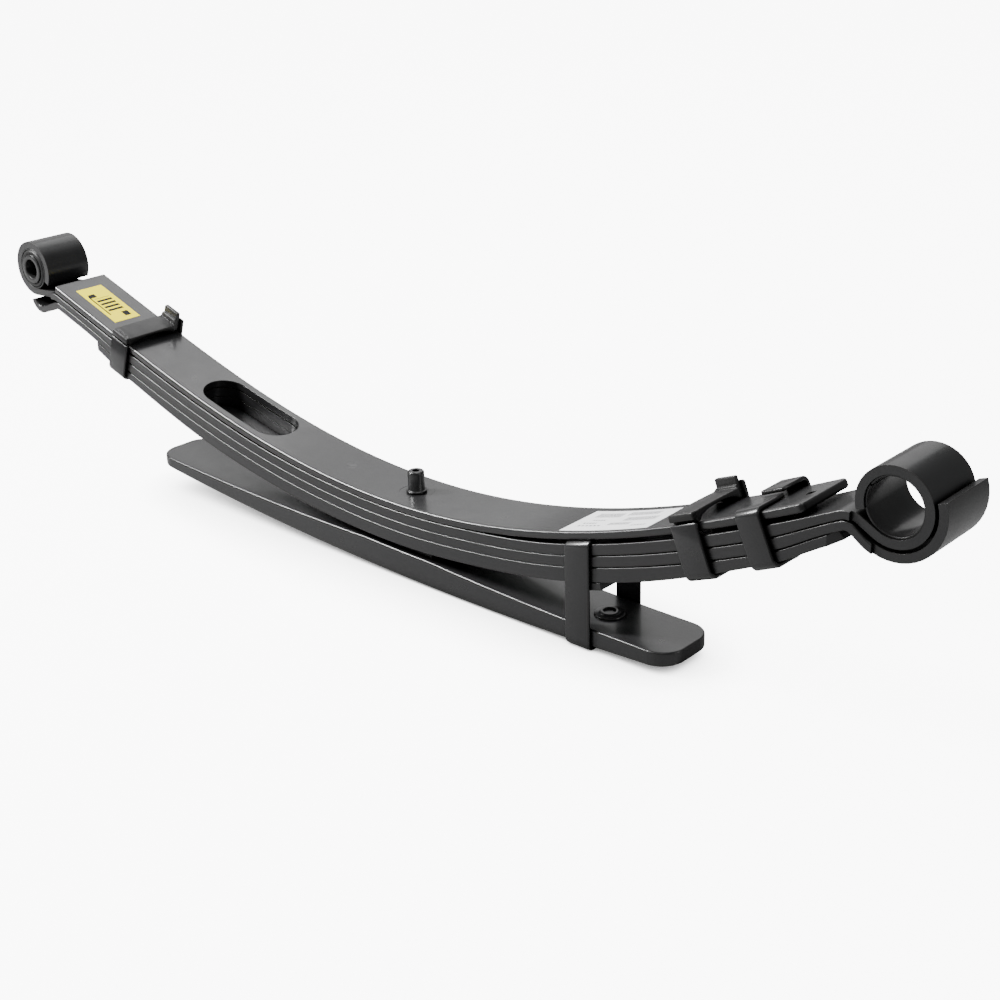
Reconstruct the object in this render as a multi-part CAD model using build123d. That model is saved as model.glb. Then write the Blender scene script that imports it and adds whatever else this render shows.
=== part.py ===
"""Semi-elliptic multi-leaf spring for a pickup rear axle.

Four cambered leaves lie in one pack over a thick, nearly flat helper leaf.
+X runs along the spring to the open front eye, Y across the leaves, +Z up.
The origin is on the centre bolt, at the top face of the top leaf.
All sizes are in millimetres.
"""
from build123d import *
from math import atan2, cos, degrees, hypot, pi, radians, sin
import os

os.makedirs("parts", exist_ok=True)

# ---- driving dimensions -------------------------------------------------
LEAF_WIDTH = 63.0
TOP_EDGE_ROUND = 2.2      # rolled edge of the top leaf
EDGE_ROUND = 1.0          # the same, on the leaves with eyes
LOWER_EDGE_ROUND = 0.9

CAMBER_FRONT = (6.95e-4, 3.6e-10)   # z = a x^2 - c x^4, front half
CAMBER_REAR = (6.05e-4, 5.4e-10)    # the same, rear half

TOP_LEAF_T = 7.2
TOP_LEAF_X = (-490.0, 414.0)
MAIN_LEAF_T = (9.6, 6.8)            # in the pack, at the bent ends
WRAP_LEAF_T = (9.4, 7.0)
LOWER_LEAF_T = (12.6, 7.6)
LOWER_LEAF_X = (-424.0, 430.0)
THINNING = (372.0, 432.0)           # where the bent leaves thin towards their ends
LOWER_THINNING = (220.0, 420.0)
PAINT_GAP = 0.15                    # between leaves at the bolt
TOP_GAP = 3.3                       # under the top leaf, front half
TOP_GAP_REAR = 1.1
LEAF_GAP = 0.7                      # between the other leaves, at the ends

FRONT_EYE = (483.7, 122.7)          # x, z of the eye axis
FRONT_EYE_R = 30.0
FRONT_EYE_WIDTH = 57.0
FRONT_EYE_END = 197.0               # where the rolled eye stops, degrees
LINER_T = 1.6
REAR_EYE = (-537.1, 124.8)
REAR_EYE_R = 28.5
REAR_EYE_END = -31.0
REAR_EYE_WIDTH = 50.0
WRAP_R = 36.4                       # centre line of the wrap round the eye
WRAP_END = 19.0
WRAP_TIP_WIDTH = 57.0
HOOK_AT = (-520.5, 97.4)
HOOK_R = 13.0

SLOT_X = -225.0                     # weight-saving slot, not in the lower leaf
SLOT_LENGTH = 117.0
SLOT_WIDTH = 46.0
TIP_HOLE = (402.5, 4.0)
TIP_CORNER = 5.0

BOLT_R = 6.0
BOLT_HEAD_R = 7.6
BOLT_HEAD_H = 20.5
SPOT_FACE_R = 16.0        # shallow flat the bolt head sits on
NUT_FLAT = 17.0
NUT_H = 9.0

HELPER_X = (-342.0, 302.0)
HELPER_FLOOR = -70.5
HELPER_LOW_X = 90.0                 # where its underside is lowest
HELPER_SEAT = 40.0                  # half length of the flat seat
HELPER_T = (24.5, 0.048)            # on the seat, loss per mm beyond it
HELPER_CORNER = 21.0

STRAP_T = 3.6
STRAP_WIDTH = 25.0
REAR_CLIP_X = -380.5
INNER_CLIP_X = 316.0
OUTER_CLIP_X = 371.0
OUTER_CLIP_WIDTH = 21.5
HELPER_CLIP_X = 212.5
HELPER_CLIP_T = 3.0
HELPER_RIVET_X = 219.0
RIVET_R = 4.0

BUSH_SLEEVE_BORE_R = 10.0
BUSH_SLEEVE_R = 15.4
BUSH_SHELL_T = 1.6
BUSH_STICK_OUT = 2.4


# ---- the curve every leaf follows --------------------------------------
def camber(x):
    """Height of the top leaf's top face."""
    a, c = CAMBER_FRONT if x > 0 else CAMBER_REAR
    return a * x**2 - c * x**4


def slope(x):
    """Angle of that face, in radians."""
    a, c = CAMBER_FRONT if x > 0 else CAMBER_REAR
    return atan2(2 * a * x - 4 * c * x**3, 1.0)


def ease(x, start, end):
    """0 before start, 1 after end, smooth in between."""
    u = min(max((abs(x) - start) / (end - start), 0.0), 1.0)
    return u * u * (3 - 2 * u)


def taper(sizes, x, run=THINNING):
    return sizes[0] + (sizes[1] - sizes[0]) * ease(x, *run)


def depths(x):
    """Distance below the top face of (top, bottom) of each leaf at x."""
    top_gap = TOP_GAP if x > 0 else TOP_GAP_REAR
    gap_1 = PAINT_GAP + (top_gap - PAINT_GAP) * ease(x, 70, 195)
    gap_2 = PAINT_GAP + (LEAF_GAP - PAINT_GAP) * ease(x, 150, 300)
    main_top = TOP_LEAF_T + gap_1
    main_low = main_top + taper(MAIN_LEAF_T, x)
    wrap_low = main_low + gap_2 + taper(WRAP_LEAF_T, x)
    low_top = wrap_low + gap_2
    thin = taper(LOWER_LEAF_T, x, LOWER_THINNING)
    return {
        "top": (0.0, TOP_LEAF_T),
        "main": (main_top, main_low),
        "wrap": (main_low + gap_2, wrap_low),
        "lower": (low_top, low_top + thin),
    }


def below(x, depth):
    """Point at a distance below the top face, square to it."""
    s = slope(x)
    return (x + depth * sin(s), camber(x) - depth * cos(s))


def stations(start, end, step=22.0):
    count = max(2, round(abs(end - start) / step))
    return [start + (end - start) * i / count for i in range(count + 1)]


# ---- flat strips drawn in the XZ plane and given a width ----------------
def flat_face(upper, lower):
    """Face in the XZ plane between two smooth lines of (x, z) points."""
    top = Spline([Vector(x, 0, z) for x, z in upper])
    low = Spline([Vector(x, 0, z) for x, z in lower])
    return make_face(Wire([top, Line(top @ 1, low @ 1), low, Line(low @ 0, top @ 0)]))


def widen(face, width):
    """Extrude a face of the XZ plane, half the width to each side."""
    return extrude(Pos(0, -width / 2, 0) * face, amount=width, dir=(0, 1, 0))


def side_edges(part, width):
    """Long edges of a strip on its two sides."""
    chosen = []
    for side in (-width / 2, width / 2):
        on_side = part.edges().filter_by_position(Axis.Y, side - 0.01, side + 0.01)
        chosen += [e for e in on_side if e.length > 6.5 or e.geom_type != GeomType.LINE]
    return chosen


class Path:
    """Centre line built from arcs and straights."""

    def __init__(self, point, heading):
        self.x, self.z = point
        self.heading = heading
        self.runs = []

    def run(self, length):
        start = (self.x, self.z)
        self.x += length * cos(self.heading)
        self.z += length * sin(self.heading)
        self.runs.append(("line", start, (self.x, self.z), self.heading))

    def turn(self, radius, angle):
        side = 1 if angle > 0 else -1
        cx = self.x - side * radius * sin(self.heading)
        cz = self.z + side * radius * cos(self.heading)
        first = self.heading
        self.heading += angle
        self.x = cx + side * radius * sin(self.heading)
        self.z = cz - side * radius * cos(self.heading)
        self.runs.append(("arc", (cx, cz), radius, first, self.heading, side))

    def edges(self, offset):
        """Edges of the line shifted to its left by the offset."""
        out = []
        for item in self.runs:
            if item[0] == "line":
                _, start, end, h = item
                shift = Vector(-sin(h) * offset, 0, cos(h) * offset)
                out.append(Line(Vector(start[0], 0, start[1]) + shift,
                                Vector(end[0], 0, end[1]) + shift))
            else:
                _, (cx, cz), radius, first, last, side = item
                r = (radius - side * offset) * side
                spots = [first, (first + last) / 2, last]
                out.append(ThreePointArc(*[Vector(cx + r * sin(h), 0, cz - r * cos(h))
                                           for h in spots]))
        return out


def lead_to_circle(point, heading, bend_r, bend_side, centre, radius, circle_side):
    """Bend, then run straight, so the line ends tangent to a circle."""
    def miss(angle):
        trial = Path(point, heading)
        trial.turn(bend_r, bend_side * angle)
        dx, dz = centre[0] - trial.x, centre[1] - trial.z
        left = -dx * sin(trial.heading) + dz * cos(trial.heading)
        return left - circle_side * radius

    low, high = 0.01, radians(80)
    for _ in range(60):
        mid = (low + high) / 2
        if miss(low) * miss(mid) <= 0:
            high = mid
        else:
            low = mid
    path = Path(point, heading)
    path.turn(bend_r, bend_side * low)
    dx, dz = centre[0] - path.x, centre[1] - path.z
    path.run(dx * cos(path.heading) + dz * sin(path.heading))
    return path


def offset_rows(samples):
    """Upper and lower points of a strip from (x, z, heading, thickness)."""
    upper = [(x - t / 2 * sin(h), z + t / 2 * cos(h)) for x, z, h, t in samples]
    lower = [(x + t / 2 * sin(h), z - t / 2 * cos(h)) for x, z, h, t in samples]
    return upper, lower


def bent_face(rear, samples, front, t):
    """Face of a leaf: bent rear end, pack run, bent front end."""
    sides = []
    for rows, sign in zip(offset_rows(samples), (1, -1)):
        tangents = [(cos(h), 0, sin(h)) for h in (samples[0][2], samples[-1][2])]
        middle = Spline([Vector(x, 0, z) for x, z in rows], tangents=tangents)
        sides.append((rear.edges(-sign * t / 2), middle, front.edges(sign * t / 2)))
    caps = [Line(sides[0][0][-1] @ 1, sides[1][0][-1] @ 1),
            Line(sides[0][2][-1] @ 1, sides[1][2][-1] @ 1)]
    edges = [e for r, m, f in sides for e in (*r, m, *f)] + caps
    return make_face(Wire(edges))


def pack_samples(name, start, end, step=22.0):
    """Centre line of a leaf inside the pack."""
    out = []
    for x in stations(start, end, step):
        top, low = depths(x)[name]
        px, pz = below(x, (top + low) / 2)
        out.append((px, pz, slope(x), low - top))
    return out


def plan_cut(part, x_range, half_width, z_mid):
    """Trim a strip to a narrower width over part of its length."""
    length = x_range[1] - x_range[0]
    for side in (-1, 1):
        block = Box(length, 40, 160)
        y = side * (half_width + 20)
        part = part - Pos((x_range[0] + x_range[1]) / 2, y, z_mid) * block
    return part


def upright_slot(z_mid):
    """Cutter for the long round-ended slot through the pack."""
    s = slope(SLOT_X)
    body = extrude(SlotOverall(SLOT_LENGTH, SLOT_WIDTH), amount=60, both=True)
    return Pos(SLOT_X, 0, z_mid) * Rot(0, -degrees(s), 0) * body


def local(x, depth=0.0):
    """Location on the pack: X along the leaf, Z square to it."""
    px, pz = below(x, depth)
    return Pos(px, 0, pz) * Rot(0, -degrees(slope(x)), 0)


def bolt_cutter(radius):
    return Pos(0, 0, -40) * Cylinder(radius, 120)


def save(part, name, colour):
    part.label = name
    part.color = colour
    export_step(part, f"parts/{name}.step")


BLACK = Color(0.05, 0.05, 0.055)
RUBBER = Color(0.03, 0.03, 0.03)
STEEL = Color(0.35, 0.35, 0.36)

# ---- top leaf: plain tapered ends, slot, dimple and tip hole ------------
rows = offset_rows(pack_samples("top", TOP_LEAF_X[0], TOP_LEAF_X[1]))
top_leaf = widen(flat_face(*rows), LEAF_WIDTH)
ends = [e for e in top_leaf.edges().filter_by(GeomType.LINE) if e.length < 8]
front_ends = [e for e in ends if e.center().X > 0]
top_leaf = fillet(front_ends, TIP_CORNER)
top_leaf = fillet(side_edges(top_leaf, LEAF_WIDTH), TOP_EDGE_ROUND)
top_leaf -= bolt_cutter(BOLT_R + 0.25)
top_leaf -= Pos(0, 0, 5) * Cylinder(SPOT_FACE_R, 10)
slot_cutter = upright_slot(camber(SLOT_X))
top_leaf -= slot_cutter
top_leaf -= local(TIP_HOLE[0]) * Cylinder(TIP_HOLE[1], 30)
top_leaf -= local(-84.0) * Pos(0, 0, 22.0) * Sphere(22.6)
save(top_leaf, "top_leaf", BLACK)

# ---- main leaf: rolled up into an eye at both ends ----------------------
MAIN_BEND_FRONT = 437.0
MAIN_BEND_REAR = -486.0
pack = pack_samples("main", MAIN_BEND_REAR, MAIN_BEND_FRONT)
t = MAIN_LEAF_T[1]
front_r = FRONT_EYE_R - t / 2
front = lead_to_circle(pack[-1][:2], pack[-1][2], 16.0, -1, FRONT_EYE, front_r, 1)
front.turn(front_r, radians(FRONT_EYE_END + 90) - front.heading)
rear_r = REAR_EYE_R - t / 2
rear = lead_to_circle(pack[0][:2], pack[0][2] + pi, 16.0, 1, REAR_EYE, rear_r, -1)
rear.turn(rear_r, radians(REAR_EYE_END - 90) - rear.heading)
main_leaf = widen(bent_face(rear, pack, front, t), LEAF_WIDTH)
main_leaf = fillet(side_edges(main_leaf, LEAF_WIDTH), EDGE_ROUND)
main_leaf = plan_cut(main_leaf, (452.0, 530.0), FRONT_EYE_WIDTH / 2, 120)
main_leaf = plan_cut(main_leaf, (-590.0, -500.0), REAR_EYE_WIDTH / 2, 120)
main_leaf -= bolt_cutter(BOLT_R + 0.25)
main_leaf -= slot_cutter
save(main_leaf, "main_leaf", BLACK)

# ---- wrap leaf: second leaf, half round the front eye, hooked at the rear
WRAP_BEND_FRONT = 436.0
WRAP_BEND_REAR = -480.0
pack = pack_samples("wrap", WRAP_BEND_REAR, WRAP_BEND_FRONT)
t = WRAP_LEAF_T[1]
front = lead_to_circle(pack[-1][:2], pack[-1][2], 9.0, -1, FRONT_EYE, WRAP_R, 1)
front.turn(WRAP_R, radians(WRAP_END + 90) - front.heading)
rear = lead_to_circle(pack[0][:2], pack[0][2] + pi, 14.0, 1, HOOK_AT, HOOK_R, -1)
rear.turn(HOOK_R, radians(105) - rear.heading)
wrap_leaf = widen(bent_face(rear, pack, front, t), LEAF_WIDTH)
wrap_leaf = fillet(side_edges(wrap_leaf, LEAF_WIDTH), EDGE_ROUND)
wrap_leaf = plan_cut(wrap_leaf, (470.0, 540.0), WRAP_TIP_WIDTH / 2, 110)
wrap_leaf -= bolt_cutter(BOLT_R + 0.25)
wrap_leaf -= slot_cutter
save(wrap_leaf, "wrap_leaf", BLACK)

# ---- lower leaf: thickest of the pack, trimmed corners ------------------
rows = offset_rows(pack_samples("lower", LOWER_LEAF_X[0], LOWER_LEAF_X[1]))
lower_leaf = widen(flat_face(*rows), LEAF_WIDTH)
lower_leaf = fillet(side_edges(lower_leaf, LEAF_WIDTH), LOWER_EDGE_ROUND)
for end, sign in ((LOWER_LEAF_X[1], 1), (LOWER_LEAF_X[0], -1)):
    x, z = below(end, depths(end)["lower"][1])
    for side in (-1, 1):
        corner = Pos(x + sign * 5, side * LEAF_WIDTH / 2, z) * Rot(0, 0, 45) * Box(20, 20, 80)
        lower_leaf -= corner
lower_leaf -= bolt_cutter(BOLT_R + 0.25)
for x in (REAR_CLIP_X, INNER_CLIP_X, OUTER_CLIP_X):
    lower_leaf -= local(x, depths(x)["lower"][1]) * Cylinder(RIVET_R + 0.1, 40)
save(lower_leaf, "lower_leaf", BLACK)

# ---- helper leaf: thick, nearly flat, rounded in plan at both ends ------
def helper_low(x):
    return HELPER_FLOOR + 1.39e-4 * (x - HELPER_LOW_X) ** 2


def helper_top(x):
    return helper_low(x) + HELPER_T[0] - HELPER_T[1] * max(0.0, abs(x) - HELPER_SEAT)


xs = stations(HELPER_X[0], HELPER_X[1], 20.0)
helper_leaf = widen(flat_face([(x, helper_top(x)) for x in xs],
                              [(x, helper_low(x)) for x in xs]), LEAF_WIDTH)
ends = [e for e in helper_leaf.edges() if e.geom_type == GeomType.LINE and e.length < 20]
helper_leaf = fillet(ends, HELPER_CORNER)
helper_leaf = fillet(side_edges(helper_leaf, LEAF_WIDTH), 1.6)
helper_leaf -= bolt_cutter(BOLT_R + 0.25)
COUNTERBORE_H = 11.0
helper_leaf -= Pos(0, 0, HELPER_FLOOR) * Cylinder(13.0, 2 * COUNTERBORE_H)
helper_leaf -= Pos(HELPER_RIVET_X, 0, -60) * Cylinder(RIVET_R + 0.1, 60)
save(helper_leaf, "helper_leaf", BLACK)

# ---- spacer plate that holds the helper off the pack --------------------
xs = stations(-HELPER_SEAT, HELPER_SEAT, 10.0)
pack_low = [-depths(0)["lower"][1] - 0.05] * len(xs)
spacer = flat_face(list(zip(xs, pack_low)), [(x, helper_top(x) + 0.1) for x in xs])
centre_spacer = widen(spacer, 50) - bolt_cutter(BOLT_R + 0.25)
save(centre_spacer, "centre_spacer", BLACK)

# ---- centre bolt: round locating head on top, nut sunk in the helper ----
nut_top = HELPER_FLOOR + COUNTERBORE_H
shank_low = HELPER_FLOOR + 0.6
head = Pos(0, 0, BOLT_HEAD_H / 2) * Cylinder(BOLT_HEAD_R, BOLT_HEAD_H)
head = chamfer(head.edges().sort_by(Axis.Z)[-1], 0.9)
shank = Pos(0, 0, shank_low / 2 + 0.5) * Cylinder(BOLT_R, 1.0 - shank_low)
centre_bolt = head + shank - Pos(0, 0, BOLT_HEAD_H) * Cylinder(1.9, 7)
save(centre_bolt, "centre_bolt", BLACK)

hexagon = extrude(RegularPolygon(NUT_FLAT / 2, 6, major_radius=False), amount=NUT_H)
centre_bolt_nut = Pos(0, 0, nut_top - 0.05 - NUT_H) * hexagon
centre_bolt_nut -= Pos(0, 0, nut_top - NUT_H / 2) * Cylinder(BOLT_R + 0.05, 2 * NUT_H)
save(centre_bolt_nut, "centre_bolt_nut", STEEL)


# ---- front eye: thin split sleeve pressed into the rolled eye -----------
def ring(radius, bore, width, at):
    body = Cylinder(radius, width) - Cylinder(bore, 2 * width)
    return Pos(at[0], 0, at[1]) * Rot(90, 0, 0) * body


liner_r = FRONT_EYE_R - MAIN_LEAF_T[1] - 0.05
front_eye_liner = ring(liner_r, liner_r - LINER_T, FRONT_EYE_WIDTH - 3, FRONT_EYE)
seam = Pos(FRONT_EYE[0], 0, FRONT_EYE[1]) * Rot(0, -150, 0) * Pos(23, 0, 0) * Box(8, 80, 1.4)
front_eye_liner -= seam
save(front_eye_liner, "front_eye_liner", BLACK)

# ---- rear eye bush: outer shell, rubber, inner sleeve -------------------
shell_r = REAR_EYE_R - MAIN_LEAF_T[1] - 0.05
rubber_r = shell_r - BUSH_SHELL_T
rear_bush_shell = ring(shell_r, rubber_r, REAR_EYE_WIDTH + 1, REAR_EYE)
save(rear_bush_shell, "rear_bush_shell", BLACK)
rear_bush_rubber = ring(rubber_r, BUSH_SLEEVE_R + 0.05, REAR_EYE_WIDTH + BUSH_STICK_OUT, REAR_EYE)
save(rear_bush_rubber, "rear_bush_rubber", RUBBER)
sleeve_length = REAR_EYE_WIDTH + 2 * BUSH_STICK_OUT
rear_bush_sleeve = ring(BUSH_SLEEVE_R, BUSH_SLEEVE_BORE_R, sleeve_length, REAR_EYE)
save(rear_bush_sleeve, "rear_bush_sleeve", BLACK)

# ---- clips: straps riveted under the lower leaf -------------------------
INSIDE = LEAF_WIDTH / 2 + 0.6       # half the room between the two arms


def strap_u(width, t, low, near_top, far_top):
    """U-shaped strap: X along the leaf, open at the top."""
    outside = INSIDE + t
    base = Pos(0, 0, low - t / 2) * Box(width, 2 * outside, t)
    near = Pos(0, -INSIDE - t / 2, (low - t + near_top) / 2) * Box(width, t, near_top - low + t)
    far = Pos(0, INSIDE + t / 2, (low - t + far_top) / 2) * Box(width, t, far_top - low + t)
    u = base + near + far
    corners = u.edges().filter_by(Axis.X).filter_by_position(Axis.Z, low - t - 0.1, low - t + 0.1)
    return fillet(corners, t + 0.8)


def clip_rivet(x):
    """Rivet through strap and lower leaf, flush above, domed below."""
    top, low = depths(x)["lower"]
    length = low - top + 0.5 + STRAP_T
    shank = Pos(0, 0, -length / 2 - 0.15) * Cylinder(RIVET_R, length - 0.1)
    cap = Pos(0, 0, -length - 1.3) * Cylinder(7.0, 2.6)
    cap = fillet(cap.edges().sort_by(Axis.Z)[0], 2.0)
    return local(x, top) * (shank + cap)


def clip_pad(tab_top, tab_width):
    """Bridge over the top leaf: arched below, lip at the near end, tab at
    the far end."""
    half = LEAF_WIDTH / 2
    bridge = Pos(0, -0.5, 4.55) * Box(STRAP_WIDTH - 1, LEAF_WIDTH - 1, 8.9)
    arch = Pos(0, 0, 0) * Rot(0, 90, 0) * extrude(Ellipse(6.0, half - 4.5), amount=40, both=True)
    lip = Pos(0, -half - 1.6, 5.4) * Box(STRAP_WIDTH - 2, 5.2, 7.2)
    tab = Pos(0, half - 3.2, tab_top / 2 + 0.05) * Box(tab_width, 5.8, tab_top)
    recess = Pos(1, half - 6.0, tab_top - 7.0) * Box(tab_width - 7, 3.0, 7.0)
    hole = Pos(0, -4, 5) * Cylinder(1.8, 20)
    return bridge - arch + lip + tab - recess - hole


rivets = []
for name, x, tab_top, tab_width in (("rear", REAR_CLIP_X, 24.0, 20.0),
                                    ("inner", INNER_CLIP_X, 23.0, 20.0)):
    low = -depths(x)["lower"][1] - 0.5
    strap = strap_u(STRAP_WIDTH, STRAP_T, low, 0.6, 13.0)
    strap -= Cylinder(RIVET_R + 0.1, 200)
    save(local(x) * strap, f"{name}_clip_strap", BLACK)
    save(local(x, -0.1) * clip_pad(tab_top, tab_width), f"{name}_clip_pad", RUBBER)
    rivets.append(clip_rivet(x))

low = -depths(OUTER_CLIP_X)["lower"][1] - 0.5
t = STRAP_T
strap = strap_u(OUTER_CLIP_WIDTH, t, low, t + 0.4, 2 * t + 0.9)
near_flange = Pos(0, (2.0 - INSIDE - t) / 2, 0.4 + t / 2) * Box(OUTER_CLIP_WIDTH, INSIDE + t + 2.0, t)
far_fold = Pos(0, (2.0 + INSIDE + t) / 2, 0.9 + 1.5 * t) * Box(OUTER_CLIP_WIDTH, INSIDE + t - 2.0, t)
strap = strap + near_flange + far_fold
corners = strap.edges().filter_by(Axis.X)
near_corner = corners.filter_by_position(Axis.Y, -INSIDE - t - 0.1, -INSIDE - t + 0.1)
far_corner = corners.filter_by_position(Axis.Y, INSIDE + t - 0.1, INSIDE + t + 0.1)
strap = fillet([near_corner.sort_by(Axis.Z)[-1], far_corner.sort_by(Axis.Z)[-1]], t + 0.6)
strap -= Pos(0, 0, low) * Cylinder(RIVET_R + 0.1, 20)
save(local(OUTER_CLIP_X) * strap, "outer_clip_strap", BLACK)
rivets.append(clip_rivet(OUTER_CLIP_X))
save(Compound(children=rivets), "clip_rivets", BLACK)

# ---- helper clip: strap under the helper, hooked over the main leaf -----
t = HELPER_CLIP_T
low = helper_low(HELPER_CLIP_X) - 0.8
strap = Pos(HELPER_CLIP_X, 0, 0) * strap_u(STRAP_WIDTH, t, low, 40, 40)
main_top = depths(HELPER_CLIP_X)["main"][0]
above = local(HELPER_CLIP_X, main_top - 0.15 - t) * Pos(0, 0, 50) * Box(120, 120, 100)
hooks = Pos(0, 0, 0.15 + t / 2) * Box(STRAP_WIDTH, 2 * (INSIDE + t), t)
hooks -= Box(60, 2 * (INSIDE - 9.0), 40)
strap = strap - above + local(HELPER_CLIP_X, main_top) * hooks
strap -= Pos(HELPER_RIVET_X, 0, low) * Cylinder(RIVET_R + 0.1, 20)
save(strap, "helper_clip_strap", BLACK)

head_low = helper_top(HELPER_RIVET_X - 13.0) + 0.1
rivet_low = low - t + 0.2
rivet = Pos(0, 0, (head_low + rivet_low) / 2) * Cylinder(RIVET_R, head_low - rivet_low)
flange = Pos(0, 0, head_low + 0.8) * Cylinder(13.0, 1.6)
flange = fillet(flange.edges().sort_by(Axis.Z)[-1], 1.0)
stub = Pos(0, 0, head_low + 1.5) * Cylinder(8.6, 3.0)
dish = Pos(0, 0, head_low + 3.0) * Cylinder(5.2, 4.0)
helper_clip_rivet = Pos(HELPER_RIVET_X, 0, 0) * (rivet + flange + stub - dish)
save(helper_clip_rivet, "helper_clip_rivet", BLACK)

pack_low = depths(HELPER_CLIP_X)["lower"][1]
pad = Pos(0, 0, -0.2 - 3.0) * Box(STRAP_WIDTH - 4, 2 * INSIDE - 0.6, 6.0)
helper_clip_pad = local(HELPER_CLIP_X, pack_low) * pad
save(helper_clip_pad, "helper_clip_pad", RUBBER)


# ---- thin wear pads in the gaps near the leaf ends ----------------------
PAD_INSET = 0.2


def wear_pad(start, end, upper, lower, width):
    """Strip filling the gap between two leaves."""
    top_row, low_row = [], []
    for x in stations(start, end, 8.0):
        d = depths(x)
        top_row.append(below(x, d[upper][1] + PAD_INSET))
        low_row.append(below(x, d[lower][0] - PAD_INSET))
    return widen(flat_face(top_row, low_row), width)


save(wear_pad(330, 368, "top", "main", 44), "top_wear_pad_front", RUBBER)
save(wear_pad(352, 398, "main", "wrap", 58), "middle_wear_pad_front", RUBBER)
save(wear_pad(352, 398, "wrap", "lower", 58), "lower_wear_pad_front", RUBBER)
save(wear_pad(-366, -404, "top", "main", 44), "top_wear_pad_rear", RUBBER)
save(wear_pad(-366, -404, "main", "wrap", 44), "middle_wear_pad_rear", RUBBER)
save(wear_pad(-366, -404, "wrap", "lower", 44), "lower_wear_pad_rear", RUBBER)


# ---- the two labels, thin films on the top leaf -------------------------
def film(start, end, y_mid, width):
    xs = stations(start, end, 12.0)
    face = flat_face([below(x, -0.20) for x in xs], [below(x, -0.02) for x in xs])
    return Pos(0, y_mid, 0) * widen(face, width)


save(film(-474.0, -410.0, -1.5, 31.0), "maker_label", Color(0.95, 0.82, 0.1))
save(film(190.0, 278.0, -4.0, 49.0), "part_label", Color(0.93, 0.93, 0.93))
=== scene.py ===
import bmesh
import bpy
import numpy as np
from mathutils import Matrix, Vector


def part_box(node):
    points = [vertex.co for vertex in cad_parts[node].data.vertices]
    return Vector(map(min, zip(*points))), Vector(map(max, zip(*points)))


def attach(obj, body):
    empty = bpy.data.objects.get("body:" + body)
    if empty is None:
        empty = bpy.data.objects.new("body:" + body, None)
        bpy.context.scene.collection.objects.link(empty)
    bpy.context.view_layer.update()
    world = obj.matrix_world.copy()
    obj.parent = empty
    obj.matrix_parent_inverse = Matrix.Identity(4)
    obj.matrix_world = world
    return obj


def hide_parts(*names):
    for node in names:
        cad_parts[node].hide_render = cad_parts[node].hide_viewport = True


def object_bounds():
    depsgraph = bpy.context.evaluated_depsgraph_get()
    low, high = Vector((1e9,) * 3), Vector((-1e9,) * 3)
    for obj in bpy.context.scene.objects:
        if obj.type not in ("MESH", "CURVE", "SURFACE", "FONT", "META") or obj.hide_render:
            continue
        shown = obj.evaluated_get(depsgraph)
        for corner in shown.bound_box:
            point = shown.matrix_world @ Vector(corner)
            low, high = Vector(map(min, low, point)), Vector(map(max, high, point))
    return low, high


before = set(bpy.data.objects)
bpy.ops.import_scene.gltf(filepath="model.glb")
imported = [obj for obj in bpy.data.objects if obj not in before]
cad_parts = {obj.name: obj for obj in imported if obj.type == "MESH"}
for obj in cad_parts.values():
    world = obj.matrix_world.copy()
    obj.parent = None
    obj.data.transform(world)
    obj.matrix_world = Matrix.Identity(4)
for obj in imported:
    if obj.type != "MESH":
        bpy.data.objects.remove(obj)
cad_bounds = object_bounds()

# ---- camera --------------------------------------------------------------
# A long-lens view from the front-right and above, looking back down the
# spring, so the open front eye is nearest on the right.
eye_point = Vector((0.9681, -0.9423, 0.5610))
ahead = Vector((-0.62368496, 0.67730725, -0.3902204)).normalized()
upward = Vector((-0.24171783, 0.30763084, 0.92029113))
sideways = ahead.cross(upward).normalized()
upward = sideways.cross(ahead).normalized()
camera_data = bpy.data.cameras.new("camera")
camera_data.lens = 58.95
camera_data.sensor_width = 36.0
camera_data.clip_end = 30.0
camera = bpy.data.objects.new("camera", camera_data)
bpy.context.scene.collection.objects.link(camera)
turn = Matrix((sideways, upward, -ahead)).transposed().to_4x4()
camera.matrix_world = Matrix.Translation(eye_point) @ turn
bpy.context.scene.camera = camera


# ---- floor and light -----------------------------------------------------
# The spring stands on a plain white sweep that emits white to the camera alone; its soft contact shadow is
# painted, as ambient occlusion dims that emission near the spring. Two wide panels light it from behind, a
# narrow strip draws the highlight along the near edge, and two more fill the top and the right.
def plain_material(name, colour, roughness):
    """A Principled material of one colour and roughness."""
    material = bpy.data.materials.new(name)
    material.use_nodes = True
    shader = material.node_tree.nodes["Principled BSDF"]
    shader.inputs["Base Color"].default_value = (*colour, 1.0)
    shader.inputs["Roughness"].default_value = roughness
    return material


floor_z = float(cad_bounds[0][2])
floor_mesh = bpy.data.meshes.new("floor")
reach = 14.0
floor_mesh.from_pydata(
    [(-reach, -reach, floor_z), (reach, -reach, floor_z), (reach, reach, floor_z), (-reach, reach, floor_z)],
    [], [(0, 1, 2, 3)])
floor = bpy.data.objects.new("floor", floor_mesh)
bpy.context.scene.collection.objects.link(floor)
floor_paint = plain_material("floor_white", (0.35, 0.35, 0.35), 0.9)
tree = floor_paint.node_tree
floor_shader = tree.nodes["Principled BSDF"]
floor_shader.inputs["Specular IOR Level"].default_value = 0.0
floor_shader.inputs["Emission Color"].default_value = (1.0, 1.0, 1.0, 1.0)
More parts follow.
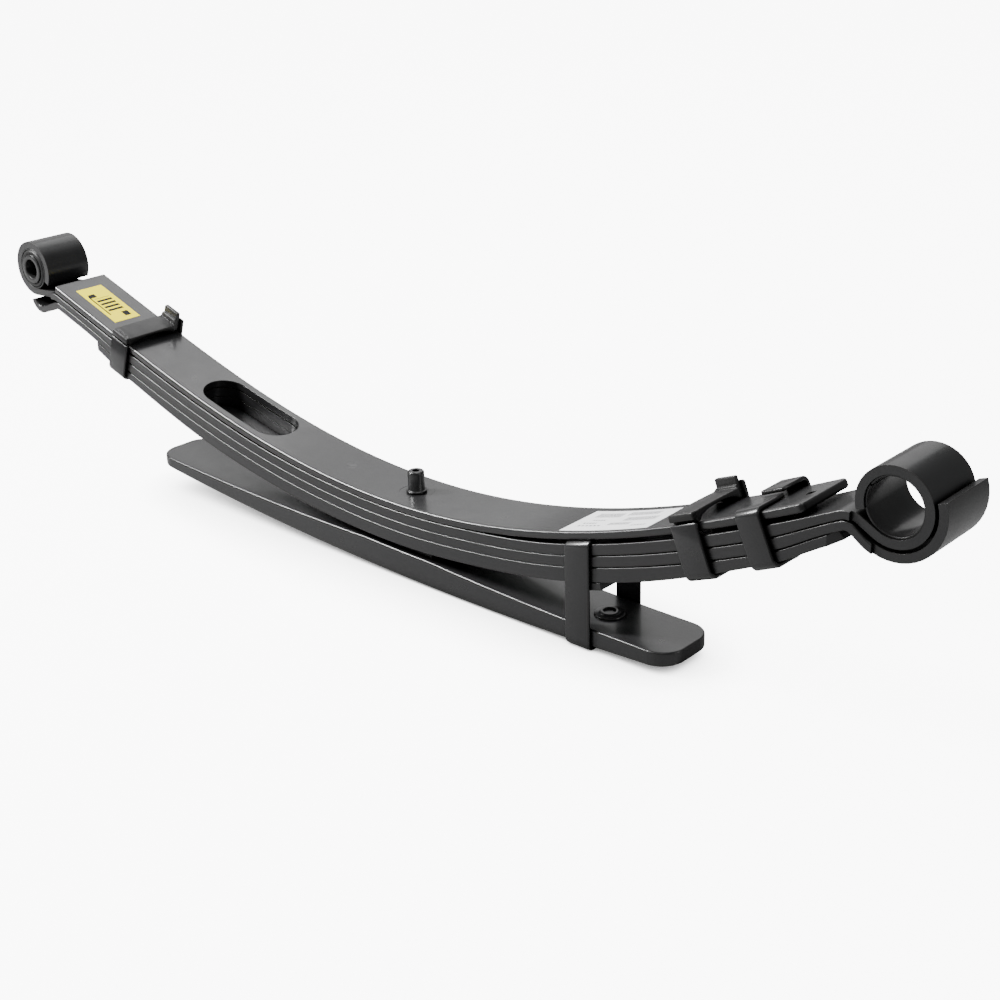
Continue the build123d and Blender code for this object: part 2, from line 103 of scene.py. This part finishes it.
# painted contact shadow: ambient occlusion near the spring lowers the floor's camera-only emission
painted_contact_shadow_ao = tree.nodes.new("ShaderNodeAmbientOcclusion")
painted_contact_shadow_ao.samples = 12
painted_contact_shadow_ao.inputs["Distance"].default_value = 0.10
emission_less_painted_shadow = tree.nodes.new("ShaderNodeMapRange")
emission_less_painted_shadow.inputs["From Min"].default_value = 0.15
emission_less_painted_shadow.inputs["From Max"].default_value = 0.92
emission_less_painted_shadow.inputs["To Min"].default_value = 0.25
emission_less_painted_shadow.inputs["To Max"].default_value = 9.0
tree.links.new(painted_contact_shadow_ao.outputs["AO"], emission_less_painted_shadow.inputs["Value"])
seen = tree.nodes.new("ShaderNodeMath")
seen.operation = "MULTIPLY"
tree.links.new(emission_less_painted_shadow.outputs["Result"], seen.inputs[0])
tree.links.new(tree.nodes.new("ShaderNodeLightPath").outputs["Is Camera Ray"], seen.inputs[1])
tree.links.new(seen.outputs[0], floor_shader.inputs["Emission Strength"])
floor_mesh.materials.append(floor_paint)

world = bpy.data.worlds.new("studio")
world.use_nodes = True
world.node_tree.nodes["Background"].inputs["Color"].default_value = (1.0, 1.0, 1.0, 1.0)
world.node_tree.nodes["Background"].inputs["Strength"].default_value = 0.2
bpy.context.scene.world = world


def panel(name, at, aim, size, watts):
    """A rectangular light at a point, facing another point."""
    data = bpy.data.lights.new(name, "AREA")
    data.shape = "RECTANGLE"
    data.size = size[0]
    data.size_y = size[1]
    data.energy = watts
    light = bpy.data.objects.new(name, data)
    bpy.context.scene.collection.objects.link(light)
    light.location = at
    direction = Vector(aim) - Vector(at)
    light.rotation_euler = direction.to_track_quat("-Z", "Y").to_euler()
    return light


panel("backdrop", (-1.9, 2.4, 1.3), (0.0, 0.0, 0.1), (3.4, 1.8), 15.0)
panel("high_back", (-1.1, 1.7, 2.1), (-0.3, 0.0, 0.0), (2.2, 1.0), 15.0)
panel("edge_strip", (-1.36, -0.86, 1.5), (0.0, 0.0, 0.0), (0.22, 1.1), 120.0)
panel("overhead", (0.3, 0.2, 2.2), (0.1, 0.0, 0.0), (1.6, 0.8), 12.0)
panel("right_side", (2.3, 0.4, 1.0), (0.3, 0.0, 0.0), (0.7, 0.9), 8.0)


# ---- the leaves ------------------------------------------------------------
# Rolled spring steel, cambered and stacked, each leaf dipped or sprayed in
# a semi-gloss black that keeps a fine orange peel and a little dust on top.
def noise(tree, source, scale, detail, rough=0.5):
    """Noise of object coordinates at a scale in cycles per metre."""
    node = tree.nodes.new("ShaderNodeTexNoise")
    node.inputs["Scale"].default_value = scale
    node.inputs["Detail"].default_value = detail
    node.inputs["Roughness"].default_value = rough
    tree.links.new(source, node.inputs["Vector"])
    return node.outputs["Fac"]


def remap(tree, value, low, high, out_low, out_high):
    """A value moved from one range to another, clamped."""
    node = tree.nodes.new("ShaderNodeMapRange")
    node.inputs["From Min"].default_value = low
    node.inputs["From Max"].default_value = high
    node.inputs["To Min"].default_value = out_low
    node.inputs["To Max"].default_value = out_high
    tree.links.new(value, node.inputs["Value"])
    return node.outputs["Result"]


def combine(tree, operation, first, second):
    """Math node on two sockets, or on a socket and a number."""
    node = tree.nodes.new("ShaderNodeMath")
    node.operation = operation
    for value, socket in ((first, node.inputs[0]), (second, node.inputs[1])):
        if hasattr(value, "links"):
            tree.links.new(value, socket)
        else:
            socket.default_value = value
    return node.outputs[0]


def blend_colour(tree, fac, first, second):
    """Mix of two colours, either of which may be a socket, by a factor."""
    node = tree.nodes.new("ShaderNodeMix")
    node.data_type = "RGBA"
    tree.links.new(fac, node.inputs["Factor"])
    for value, socket in ((first, node.inputs[6]), (second, node.inputs[7])):
        if hasattr(value, "links"):
            tree.links.new(value, socket)
        else:
            socket.default_value = (*value, 1.0)
    return node.outputs[2]


# reach of the painted shade in crevices
PAINTED_SHADE_REACH = 0.014      # how near another face must be to leave a crevice dark


def finish(name, dark, light, rough_range, peel_scale, peel_height, dust=0.0, coat=0.0, edge=0.0011):
    """Painted or moulded finish: colour drifts between two shades with slow
    noise, roughness with a middle noise, and a fine noise raises the bump.
    Upward faces take a thin veil of dust in proportion to the normal's Z.
    Crevices, where other faces stand close by, take painted shade: ambient occlusion blends the colour
    towards black and dulls specular and coat."""
    material = bpy.data.materials.new(name)
    material.use_nodes = True
    tree = material.node_tree
    shader = tree.nodes["Principled BSDF"]
    where = tree.nodes.new("ShaderNodeTexCoord").outputs["Object"]
    slow = noise(tree, where, 9.0, 4.0)
    colour = blend_colour(tree, remap(tree, slow, 0.35, 0.65, 0.0, 1.0), dark, light)
    if dust > 0.0:
        geometry = tree.nodes.new("ShaderNodeNewGeometry")
        split = tree.nodes.new("ShaderNodeSeparateXYZ")
        tree.links.new(geometry.outputs["Normal"], split.inputs[0])
        upness = remap(tree, split.outputs["Z"], 0.55, 0.98, 0.0, dust)
        specks = remap(tree, noise(tree, where, 60.0, 6.0, 0.7), 0.3, 0.7, 0.6, 1.0)
        colour = blend_colour(tree, combine(tree, "MULTIPLY", upness, specks), colour, (0.33, 0.33, 0.34))
    # painted shade: ambient occlusion darkens the colour and lowers specular and coat where other faces
    # stand close
    painted_shade_ao = tree.nodes.new("ShaderNodeAmbientOcclusion")
    painted_shade_ao.samples = 6
    painted_shade_ao.inputs["Distance"].default_value = PAINTED_SHADE_REACH
    unshaded_share = remap(tree, painted_shade_ao.outputs["AO"], 0.30, 0.85, 0.08, 1.0)
    colour = blend_colour(tree, unshaded_share, (0.001, 0.001, 0.001), colour)
    tree.links.new(colour, shader.inputs["Base Color"])
    tree.links.new(combine(tree, "MULTIPLY", unshaded_share, 0.5), shader.inputs["Specular IOR Level"])
    tree.links.new(combine(tree, "MULTIPLY", unshaded_share, coat), shader.inputs["Coat Weight"])
    middle = noise(tree, where, 45.0, 5.0, 0.6)
    tree.links.new(remap(tree, middle, 0.3, 0.7, *rough_range), shader.inputs["Roughness"])
    shader.inputs["Coat Roughness"].default_value = 0.12
    bump = tree.nodes.new("ShaderNodeBump")
    bump.inputs["Strength"].default_value = 0.3
    worn = tree.nodes.new("ShaderNodeBevel")
    worn.samples = 6
    worn.inputs["Radius"].default_value = edge
    tree.links.new(worn.outputs["Normal"], bump.inputs["Normal"])
    bump.inputs["Distance"].default_value = peel_height
    tree.links.new(noise(tree, where, peel_scale, 3.0), bump.inputs["Height"])
    tree.links.new(bump.outputs["Normal"], shader.inputs["Normal"])
    return material


LEAF_BLACK = (0.009, 0.009, 0.0095)
LEAF_BLACK_WORN = (0.013, 0.013, 0.0135)
leaf_paint = finish("leaf_paint", LEAF_BLACK, LEAF_BLACK_WORN, (0.27, 0.36), 420.0, 0.00012,
                    dust=0.05, coat=0.35)


def paint(material, *names):
    """Gives CAD nodes one material in every slot."""
    for name in names:
        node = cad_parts[name]
        for place in node.material_slots:
            place.material = material


inner_paint = finish("inner_leaf_paint", LEAF_BLACK, LEAF_BLACK_WORN, (0.30, 0.40), 420.0, 0.00012,
                     coat=0.25, edge=0.0002)
paint(leaf_paint, "top_leaf", "helper_leaf")
paint(inner_paint, "main_leaf", "wrap_leaf", "lower_leaf", "centre_spacer")


# ---- clip straps -----------------------------------------------------------
# Flat steel strip bent into a U round the pack, riveted under the lowest
# leaf, its edges dulled by shearing and filled by the black paint.
def rounded_section(half_wide, half_thick, radius, steps=5):
    """Ring of points of a rectangle with round corners: four quarter circles
    in turn, each about a centre set in from its corner by the radius."""
    angle = np.linspace(0.0, np.pi / 2, steps)
    quarter = np.stack([np.cos(angle), np.sin(angle)], axis=1) * radius
    ring = []
    for k, (sx, sz) in enumerate(((1, 1), (-1, 1), (-1, -1), (1, -1))):
        c, s = np.cos(k * np.pi / 2), np.sin(k * np.pi / 2)
        turned = quarter @ np.array([[c, s], [-s, c]])
        ring.append(turned + np.array([sx * (half_wide - radius), sz * (half_thick - radius)]))
    return np.concatenate(ring)


def skin(name, rings, material, body="spring", smooth_angle=40.0):
    """Closed surface through equal rings of points, each joined to the next,
    with both end rings filled. Normals are made consistent afterwards."""
    rings = np.asarray(rings, float)
    count, around = rings.shape[:2]
    i, j = np.meshgrid(np.arange(count - 1), np.arange(around), indexing="ij")
    k = (j + 1) % around
    here, beyond = i * around, (i + 1) * around
    quads = np.stack([here + j, here + k, beyond + k, beyond + j], axis=-1)
    faces = [tuple(f) for f in quads.reshape(-1, 4).tolist()]
    faces.append(tuple(range(around - 1, -1, -1)))
    faces.append(tuple(range((count - 1) * around, count * around)))
    mesh = bpy.data.meshes.new(name)
    mesh.from_pydata(rings.reshape(-1, 3).tolist(), [], faces)
    return placed(name, mesh, material, body, smooth_angle)


def placed(name, mesh, material, body, smooth_angle):
    """Object of a mesh at the origin, with normals turned outwards, soft
    shading below an angle, one material and its body."""
    work = bmesh.new()
    work.from_mesh(mesh)
    bmesh.ops.remove_doubles(work, verts=work.verts, dist=1e-7)
    bmesh.ops.recalc_face_normals(work, faces=work.faces)
    work.to_mesh(mesh)
    work.free()
    mesh.materials.append(material)
    mesh.polygons.foreach_set("use_smooth", np.ones(len(mesh.polygons), bool))
    mesh.set_sharp_from_angle(angle=np.radians(smooth_angle))
    piece = bpy.data.objects.new(name, mesh)
    bpy.context.scene.collection.objects.link(piece)
    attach(piece, body)
    return piece


def camber(x):
    """Height of the top face: a times x squared less c times its fourth
    power, with its own a and c on either side of the bolt (metres)."""
    a, c = (0.695, 0.36) if x > 0 else (0.605, 0.54)
    return a * x**2 - c * x**4


def tilt(x):
    """Angle of that face above level, from the curve's slope."""
    a, c = (0.695, 0.36) if x > 0 else (0.605, 0.54)
    return np.arctan(2 * a * x - 4 * c * x**3)


def on_pack(x, points):
    """Points (along, across, square-off) about the top face at x, as places."""
    points = np.asarray(points, float)
    t = tilt(x)
    out = np.empty_like(points)
    out[..., 0] = x + points[..., 0] * np.cos(t) - points[..., 2] * np.sin(t)
    out[..., 1] = points[..., 1]
    out[..., 2] = camber(x) + points[..., 0] * np.sin(t) + points[..., 2] * np.cos(t)
    return out


def bent_line(corners, radii, steps=9):
    """Line through corners, each inner corner replaced by an arc tangent to
    both legs. Returns points and unit headings."""
    corners = [np.asarray(c, float) for c in corners]
    first_leg = corners[1] - corners[0]
    points, heads = [corners[0]], [first_leg / np.linalg.norm(first_leg)]
    for before, here, after, radius in zip(corners, corners[1:], corners[2:], radii):
        d0 = (here - before) / np.linalg.norm(here - before)
        d1 = (after - here) / np.linalg.norm(after - here)
        half = np.arccos(np.clip(d0 @ d1, -1.0, 1.0)) / 2
        start = here - d0 * radius * np.tan(half)
        bisector = (d1 - d0) / np.linalg.norm(d1 - d0)
        centre = here + bisector * radius / np.cos(half)
        sign = np.sign(d0[0] * d1[1] - d0[1] * d1[0])
        a = np.linspace(0.0, 2 * half, steps) * sign
        arm = start - centre
        cos_a, sin_a = np.cos(a), np.sin(a)
        swung = np.stack([arm[0] * cos_a - arm[1] * sin_a, arm[0] * sin_a + arm[1] * cos_a], axis=1)
        headings = np.stack([d0[0] * cos_a - d0[1] * sin_a, d0[0] * sin_a + d0[1] * cos_a], axis=1)
        points.extend(centre + swung)
        heads.extend(headings)
    points.append(corners[-1])
    heads.append(heads[-1])
    return np.array(points), np.array(heads)


def strip(name, corners, radii, wide, thick, to_place, material, edge=0.0013):
    """Strip bent along a line in the (across, up) plane: a round-edged
    rectangle is carried square to the line, and drawn in at both ends."""
    points, heads = bent_line(corners, radii)
    points = np.concatenate([points[:1], points[:1] + heads[0] * edge, points[1:-1],
                             points[-1:] - heads[-1] * edge, points[-1:]])
    heads = np.concatenate([heads[:1], heads[:1], heads[1:-1], heads[-1:], heads[-1:]])
    inset = np.zeros(len(points))
    inset[0] = inset[-1] = edge * 0.8
    rings = []
    for p, h, cut in zip(points, heads, inset):
        ring = rounded_section(wide / 2 - cut, thick / 2 - cut, edge if cut == 0 else edge * 0.3)
        normal = np.array([-h[1], h[0]])
        across = p[0] + ring[:, 1] * normal[0]
        up = p[1] + ring[:, 1] * normal[1]
        rings.append(to_place(np.stack([ring[:, 0], across, up], axis=1)))
    return skin(name, rings, material)


clip_paint = finish("clip_paint", (0.008, 0.008, 0.0085), (0.012, 0.012, 0.0125), (0.26, 0.36),
                    380.0, 0.00015, dust=0.03, coat=0.3)
REAR_CLIP_X = -0.3805
INNER_CLIP_X = 0.316
OUTER_CLIP_X = 0.371
STRAP_T = 0.0036
STRAP_SLACK = 0.0005   # between strap and lowest leaf
ROOM = 0.0321          # half the room between the arms
ARM = ROOM + STRAP_T / 2
TOP_LEAF_T = 0.0072
TOP_GAP_FRONT = 0.0033
TOP_GAP_REAR = 0.0011
LEAF_GAP = 0.0007
PAINT_GAP = 0.00015    # between leaves at the bolt


def pack_depth(x):
    """Depth of the pack's underside below the top face: the leaves' summed
    thicknesses and gaps, each eased or tapered with the distance out."""
    def ease(start, end):
        u = min(max((abs(x) - start) / (end - start), 0.0), 1.0)
        return u * u * (3 - 2 * u)

    thin = ease(0.372, 0.432)
    top_gap = TOP_GAP_FRONT if x > 0 else TOP_GAP_REAR
    gap_1 = PAINT_GAP + (top_gap - PAINT_GAP) * ease(0.070, 0.195)
    gap_2 = PAINT_GAP + (LEAF_GAP - PAINT_GAP) * ease(0.150, 0.300)
    leaves = TOP_LEAF_T + (0.0096 - 0.0028 * thin) + (0.0094 - 0.0024 * thin)
    return leaves + gap_1 + 2 * gap_2 + 0.0126 - 0.0050 * ease(0.220, 0.420)


for name, x in (("rear_clip_strap", REAR_CLIP_X), ("inner_clip_strap", INNER_CLIP_X)):
    base = -pack_depth(x) - STRAP_SLACK - STRAP_T / 2
    strap = strip(name + "_bent", [(-ARM, 0.0006), (-ARM, base), (ARM, base), (ARM, 0.013)],
                  [0.0060, 0.0060], 0.025, STRAP_T, lambda p, x=x: on_pack(x, p), clip_paint)
    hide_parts(name)

base = -pack_depth(OUTER_CLIP_X) - STRAP_SLACK - STRAP_T / 2
near_top = 0.0004 + STRAP_T / 2
far_top = 0.0009 + 1.5 * STRAP_T
strap = strip("outer_clip_strap_bent",
              [(0.002, near_top), (-ARM, near_top), (-ARM, base),
               (ARM, base), (ARM, far_top), (0.002, far_top)],
              [0.0048, 0.0060, 0.0060, 0.0048], 0.0215, STRAP_T,
              lambda p: on_pack(OUTER_CLIP_X, p), clip_paint)
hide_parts("outer_clip_strap")


# ---- helper clip -----------------------------------------------------------
# A wider U under the helper leaf, its arms standing up each side of the pack
# and turned in over the second leaf; a round-headed rivet holds it below.
HELPER_CLIP_X = 0.2125
HELPER_RIVET_X = 0.219


def beside_helper(points):
    """Points (along, across, up) placed upright about the clip, leaning with
    the leaves above a height of zero."""
    out = np.array(points, float)
    lean = np.tan(tilt(HELPER_CLIP_X)) * np.clip(out[:, 2] / 0.022, 0.0, 1.0)
    out[:, 2] += out[:, 0] * lean
    out[:, 0] += HELPER_CLIP_X
    return out


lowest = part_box("helper_clip_strap")[0]
HELPER_T = 0.0030
side = ROOM + HELPER_T / 2
second_leaf = 0.0105   # depth of the second leaf's top face there
hook = camber(HELPER_CLIP_X) - second_leaf / np.cos(tilt(HELPER_CLIP_X)) + 0.0017
strap = strip("helper_clip_strap_bent",
              [(-0.0231, hook), (-side, hook), (-side, lowest[2] + HELPER_T / 2),
               (side, lowest[2] + HELPER_T / 2), (side, hook), (0.0231, hook)],
              [0.0044, 0.0052, 0.0052, 0.0044], 0.025, HELPER_T, beside_helper, clip_paint)
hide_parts("helper_clip_strap")


def turned(name, profile, to_place, material, body="spring", around=64, smooth_angle=40.0):
    """Turned piece: a closed profile of (radius, height) points swung once
    round its axis; heights run along the axis."""
    profile = np.asarray(profile, float)
    angle = np.linspace(0.0, 2 * np.pi, around, endpoint=False)
    radius, height = profile[None, :, 0], profile[None, :, 1]
    ring = np.stack([radius * np.cos(angle)[:, None], radius * np.sin(angle)[:, None],
                     np.broadcast_to(height, (around, len(profile)))], axis=-1)
    n = len(profile)
    closed = profile[0, 0] > 1e-6
    i, j = np.meshgrid(np.arange(around), np.arange(n if closed else n - 1), indexing="ij")
    i2, j2 = (i + 1) % around, (j + 1) % n
    quads = np.stack([i * n + j, i2 * n + j, i2 * n + j2, i * n + j2], axis=-1).reshape(-1, 4)
    mesh = bpy.data.meshes.new(name)
    mesh.from_pydata(to_place(ring.reshape(-1, 3)).tolist(), [], [tuple(q) for q in quads.tolist()])
    return placed(name, mesh, material, body, smooth_angle)


def at_place(x, y, z):
    """Shift of points by a fixed amount."""
    return lambda p: p + np.array([x, y, z])


rivet_low, rivet_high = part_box("helper_clip_rivet")
boss = rivet_high[2]
rivet = turned("helper_clip_rivet_head",
               [(0.0, rivet_low[2]), (0.0038, rivet_low[2]), (0.0040, rivet_low[2] + 0.0004),
                (0.0040, boss - 0.0030), (0.0130, boss - 0.0030), (0.0130, boss - 0.0024),
                (0.0124, boss - 0.0016), (0.0100, boss - 0.0013), (0.0090, boss - 0.0010),
                (0.0086, boss - 0.0003), (0.0079, boss), (0.0058, boss),
                (0.0052, boss - 0.0004), (0.0050, boss - 0.0018), (0.0, boss - 0.0020)],
               at_place(HELPER_RIVET_X, 0.0, 0.0), clip_paint)
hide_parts("helper_clip_rivet")


# ---- clip rivets -----------------------------------------------------------
# Button-head rivets through strap and lowest leaf, hammered below, painted
# over with the clips.
RIVET_HEAD_R = 0.0070
RIVET_HEAD_H = 0.0026
for name, x in (("rear", REAR_CLIP_X), ("inner", INNER_CLIP_X), ("outer", OUTER_CLIP_X)):
    under = -pack_depth(x) - STRAP_SLACK - STRAP_T
    dome = np.linspace(0.0, np.pi / 2, 8)
    profile = [(0.0, under + 0.006), (0.0038, under + 0.006), (0.0040, under + 0.0055), (0.0040, under),
               (RIVET_HEAD_R, under)]
    profile += [(RIVET_HEAD_R * np.cos(a), under - RIVET_HEAD_H * np.sin(a)) for a in dome[1:-1]]
    profile.append((0.0, under - RIVET_HEAD_H))
    turned(name + "_clip_rivet", profile, lambda p, x=x: on_pack(x, p), clip_paint)
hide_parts("clip_rivets")


# ---- centre bolt -----------------------------------------------------------
# Socket-headed bolt that clamps the pack; its tall round head stands on a
# thin washer face and drops into the axle's spring pad.
bolt = turned("centre_bolt_turned",
              [(0.0, -0.0690), (0.0060, -0.0690), (0.0060, 0.0002), (0.0088, 0.0002), (0.0092, 0.0006),
               (0.0092, 0.0020), (0.0087, 0.0025), (0.0078, 0.0027), (0.0075, 0.0031), (0.0075, 0.0184),
               (0.0073, 0.0194), (0.0066, 0.0202), (0.0058, 0.0205), (0.0034, 0.0205), (0.0030, 0.0202),
               (0.0029, 0.0160), (0.0, 0.0150)],
              at_place(0.0, 0.0, 0.0), clip_paint)
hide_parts("centre_bolt")
paint(clip_paint, "centre_bolt_nut")


# ---- clip pads -------------------------------------------------------------
# Moulded plastic saddles between clip and top leaf: an arched bridge, a
# ribbed lip over the near edge, and a stepped tab hooked behind the far one.
def saddle(name, x, rows, material):
    """Solid lofted across the spring: each row gives across, near and far
    ends along the leaf, underside and top; a round-cornered box section is
    set at every row."""
    rings = []
    for across, low_x, high_x, low_z, high_z in rows:
        ring = rounded_section((high_x - low_x) / 2, (high_z - low_z) / 2,
                               min(0.0010, (high_z - low_z) * 0.35, (high_x - low_x) * 0.35))
        place = np.stack([ring[:, 0] + (low_x + high_x) / 2, np.full(len(ring), across),
                          ring[:, 1] + (low_z + high_z) / 2], axis=1)
        rings.append(on_pack(x, place))
    return skin(name, rings, material, smooth_angle=35.0)


moulding = finish("black_moulding", (0.007, 0.007, 0.007), (0.011, 0.011, 0.011), (0.34, 0.46),
                  900.0, 0.00010, dust=0.02, coat=0.1)


def saddle_rows(tab_top):
    """Rows of one saddle, in metres: lip with three ribs, bridge whose
    underside follows half an ellipse, then the stepped tab."""
    rows = [(-0.0357, -0.0110, 0.0110, 0.0038, 0.0072), (-0.0354, -0.0115, 0.0115, 0.0034, 0.0078)]
    for k in range(3):
        start = -0.0350 + 0.0014 * k
        rows += [(start, -0.0118, 0.0118, 0.0030, 0.0088),
                 (start + 0.0008, -0.0118, 0.0118, 0.0030, 0.0090),
                 (start + 0.0009, -0.0114, 0.0114, 0.0034, 0.0080),
                 (start + 0.0013, -0.0114, 0.0114, 0.0034, 0.0080)]
    rows += [(-0.0306, -0.0120, 0.0120, 0.0004, 0.0088), (-0.0272, -0.0120, 0.0120, 0.0004, 0.0088)]
    for y in np.linspace(-0.0265, 0.0225, 22):
        arch = 0.0004 + 0.0056 * np.sqrt(max(0.0, 1 - ((y + 0.002) / 0.0248) ** 2))
        rows.append((y, -0.0120, 0.0120, arch, 0.0088 + 0.0004 * np.cos(y / 0.0315 * np.pi / 2)))
    rows += [(0.0236, -0.0120, 0.0120, 0.0004, 0.0090), (0.0248, -0.0118, 0.0118, 0.0004, 0.0094),
             (0.0250, -0.0105, 0.0105, 0.0004, tab_top - 0.0075),
             (0.0256, -0.0102, 0.0102, 0.0004, tab_top - 0.0070),
             (0.0270, -0.0100, 0.0100, 0.0004, tab_top - 0.0068),
             (0.0272, -0.0100, 0.0100, 0.0004, tab_top - 0.0006),
             (0.0276, -0.0100, 0.0100, 0.0004, tab_top), (0.0306, -0.0100, 0.0100, 0.0004, tab_top),
             (0.0311, -0.0097, 0.0097, 0.0008, tab_top - 0.0004)]
    return rows


for name, x, tab_top in (("rear_clip_pad", REAR_CLIP_X, 0.0212), ("inner_clip_pad", INNER_CLIP_X, 0.0180)):
    pad = saddle(name + "_moulded", x, saddle_rows(tab_top), moulding)
    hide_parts(name)
paint(moulding, "helper_clip_pad", "top_wear_pad_front", "middle_wear_pad_front", "lower_wear_pad_front",
      "top_wear_pad_rear", "middle_wear_pad_rear", "lower_wear_pad_rear")


# ---- rear bush -------------------------------------------------------------
# A steel-shelled rubber bush pressed into the rear eye: thin outer shell,
# rubber that bulges past it, and a thick inner sleeve for the shackle bolt.
def across_eye(x, z):
    """Places turned points with their axis along the eye."""
    return lambda p: np.stack([x + p[:, 0], p[:, 2], z - p[:, 1]], axis=1)


REAR = (-0.5371, 0.1248)
rubber_finish = finish("bush_rubber", (0.006, 0.006, 0.006), (0.010, 0.010, 0.010), (0.42, 0.55),
                       1200.0, 0.0001)
bore_finish = finish("bore_steel", (0.006, 0.006, 0.0062), (0.009, 0.009, 0.0092), (0.28, 0.4),
                     300.0, 0.00012, coat=0.25)


def sleeve(name, inner, outer, half, lip, material, body="spring"):
    """Tube of two radii and a half length whose four edges are rounded."""
    profile = [(inner, -half + lip), (inner + lip * 0.3, -half + lip * 0.3), (inner + lip, -half),
               (outer - lip, -half), (outer - lip * 0.3, -half + lip * 0.3), (outer, -half + lip),
               (outer, half - lip), (outer - lip * 0.3, half - lip * 0.3), (outer - lip, half),
               (inner + lip, half), (inner + lip * 0.3, half - lip * 0.3), (inner, half - lip)]
    return turned(name, profile, across_eye(*REAR), material, body, around=96)


shell = sleeve("rear_bush_shell_turned", 0.02005, 0.02165, 0.0255, 0.0005, bore_finish)
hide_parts("rear_bush_shell")
bulge = [(0.01546, -0.0250), (0.0158, -0.0258), (0.0172, -0.0262), (0.0186, -0.0260), (0.0196, -0.0250),
         (0.02000, -0.0240)]
rubber = turned("rear_bush_rubber_moulded", bulge + [(r, -y) for r, y in bulge[::-1]], across_eye(*REAR),
                rubber_finish, around=96)
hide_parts("rear_bush_rubber")
inner = sleeve("rear_bush_sleeve_turned", 0.0100, 0.0154, 0.0274, 0.0007, bore_finish, "bush_sleeve")
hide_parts("rear_bush_sleeve")
paint(bore_finish, "front_eye_liner")


# ---- labels ----------------------------------------------------------------
# Two thin paper labels on the top leaf: a yellow one by the rear clip with a
# plain bar emblem, and a white one with rows of grey dashes and bars.
def label(name, ground, ink, marks, tone, painted_glow):
    """Paper whose marks are boxes of object coordinates: each mark gives
    low x, high x, low y, high y and a stripe pitch, or none, in metres."""
    material = bpy.data.materials.new(name)
    material.use_nodes = True
    tree = material.node_tree
    shader = tree.nodes["Principled BSDF"]
    where = tree.nodes.new("ShaderNodeTexCoord").outputs["Object"]
    split = tree.nodes.new("ShaderNodeSeparateXYZ")
    tree.links.new(where, split.inputs[0])
    x, y = split.outputs["X"], split.outputs["Y"]
    total = None
    for low_x, high_x, low_y, high_y, pitch in marks:
        past_low = combine(tree, "GREATER_THAN", x, low_x)
        short_of_high = combine(tree, "LESS_THAN", x, high_x)
        inside = combine(tree, "MULTIPLY", past_low, short_of_high)
        inside = combine(tree, "MULTIPLY", inside, combine(tree, "GREATER_THAN", y, low_y))
        inside = combine(tree, "MULTIPLY", inside, combine(tree, "LESS_THAN", y, high_y))
        if pitch:
            wave = combine(tree, "SINE", combine(tree, "MULTIPLY", x, 6.2832 / pitch), 0.0)
            inside = combine(tree, "MULTIPLY", inside, combine(tree, "GREATER_THAN", wave, -0.1))
        total = inside if total is None else combine(tree, "MAXIMUM", total, inside)
    # painted light: the paper and its marks glow in their own colours at this emission strength
    shader.inputs["Emission Strength"].default_value = painted_glow
    shader.inputs["Specular IOR Level"].default_value = 0.15
    paper = blend_colour(tree, remap(tree, noise(tree, where, 120.0, 4.0), 0.3, 0.7, 0.0, 1.0), ground, tone)
    face = blend_colour(tree, total, paper, ink)
    tree.links.new(face, shader.inputs["Base Color"])
    tree.links.new(face, shader.inputs["Emission Color"])
    grain = remap(tree, noise(tree, where, 300.0, 3.0), 0.3, 0.7, 0.4, 0.55)
    tree.links.new(grain, shader.inputs["Roughness"])
    return material


yellow = label("yellow_paper", (1.0, 0.86, 0.0), (0.012, 0.012, 0.012),
               [(-0.462, -0.4560, -0.012, -0.004, None), (-0.4535, -0.4275, -0.0095, 0.0085, 0.0060),
                (-0.4590, -0.4230, -0.0130, -0.0115, None), (-0.4240, -0.4160, 0.0010, 0.0080, None)],
               (0.97, 0.82, 0.0), 0.2)
paint(yellow, "maker_label")
white = label("white_paper", (0.86, 0.86, 0.87), (0.10, 0.10, 0.11),
              [(0.200, 0.226, 0.004, 0.014, 0.0014), (0.230, 0.262, 0.008, 0.016, 0.0022),
               (0.236, 0.268, -0.006, 0.003, 0.0012), (0.200, 0.214, -0.012, -0.009, 0.0030),
               (0.198, 0.222, -0.018, -0.0155, 0.0040), (0.228, 0.250, -0.016, -0.010, 0.0018),
               (0.254, 0.270, -0.020, -0.0175, 0.0030), (0.204, 0.218, -0.0045, -0.002, 0.0026)],
              (0.80, 0.80, 0.81), 0.8)
paint(white, "part_label")
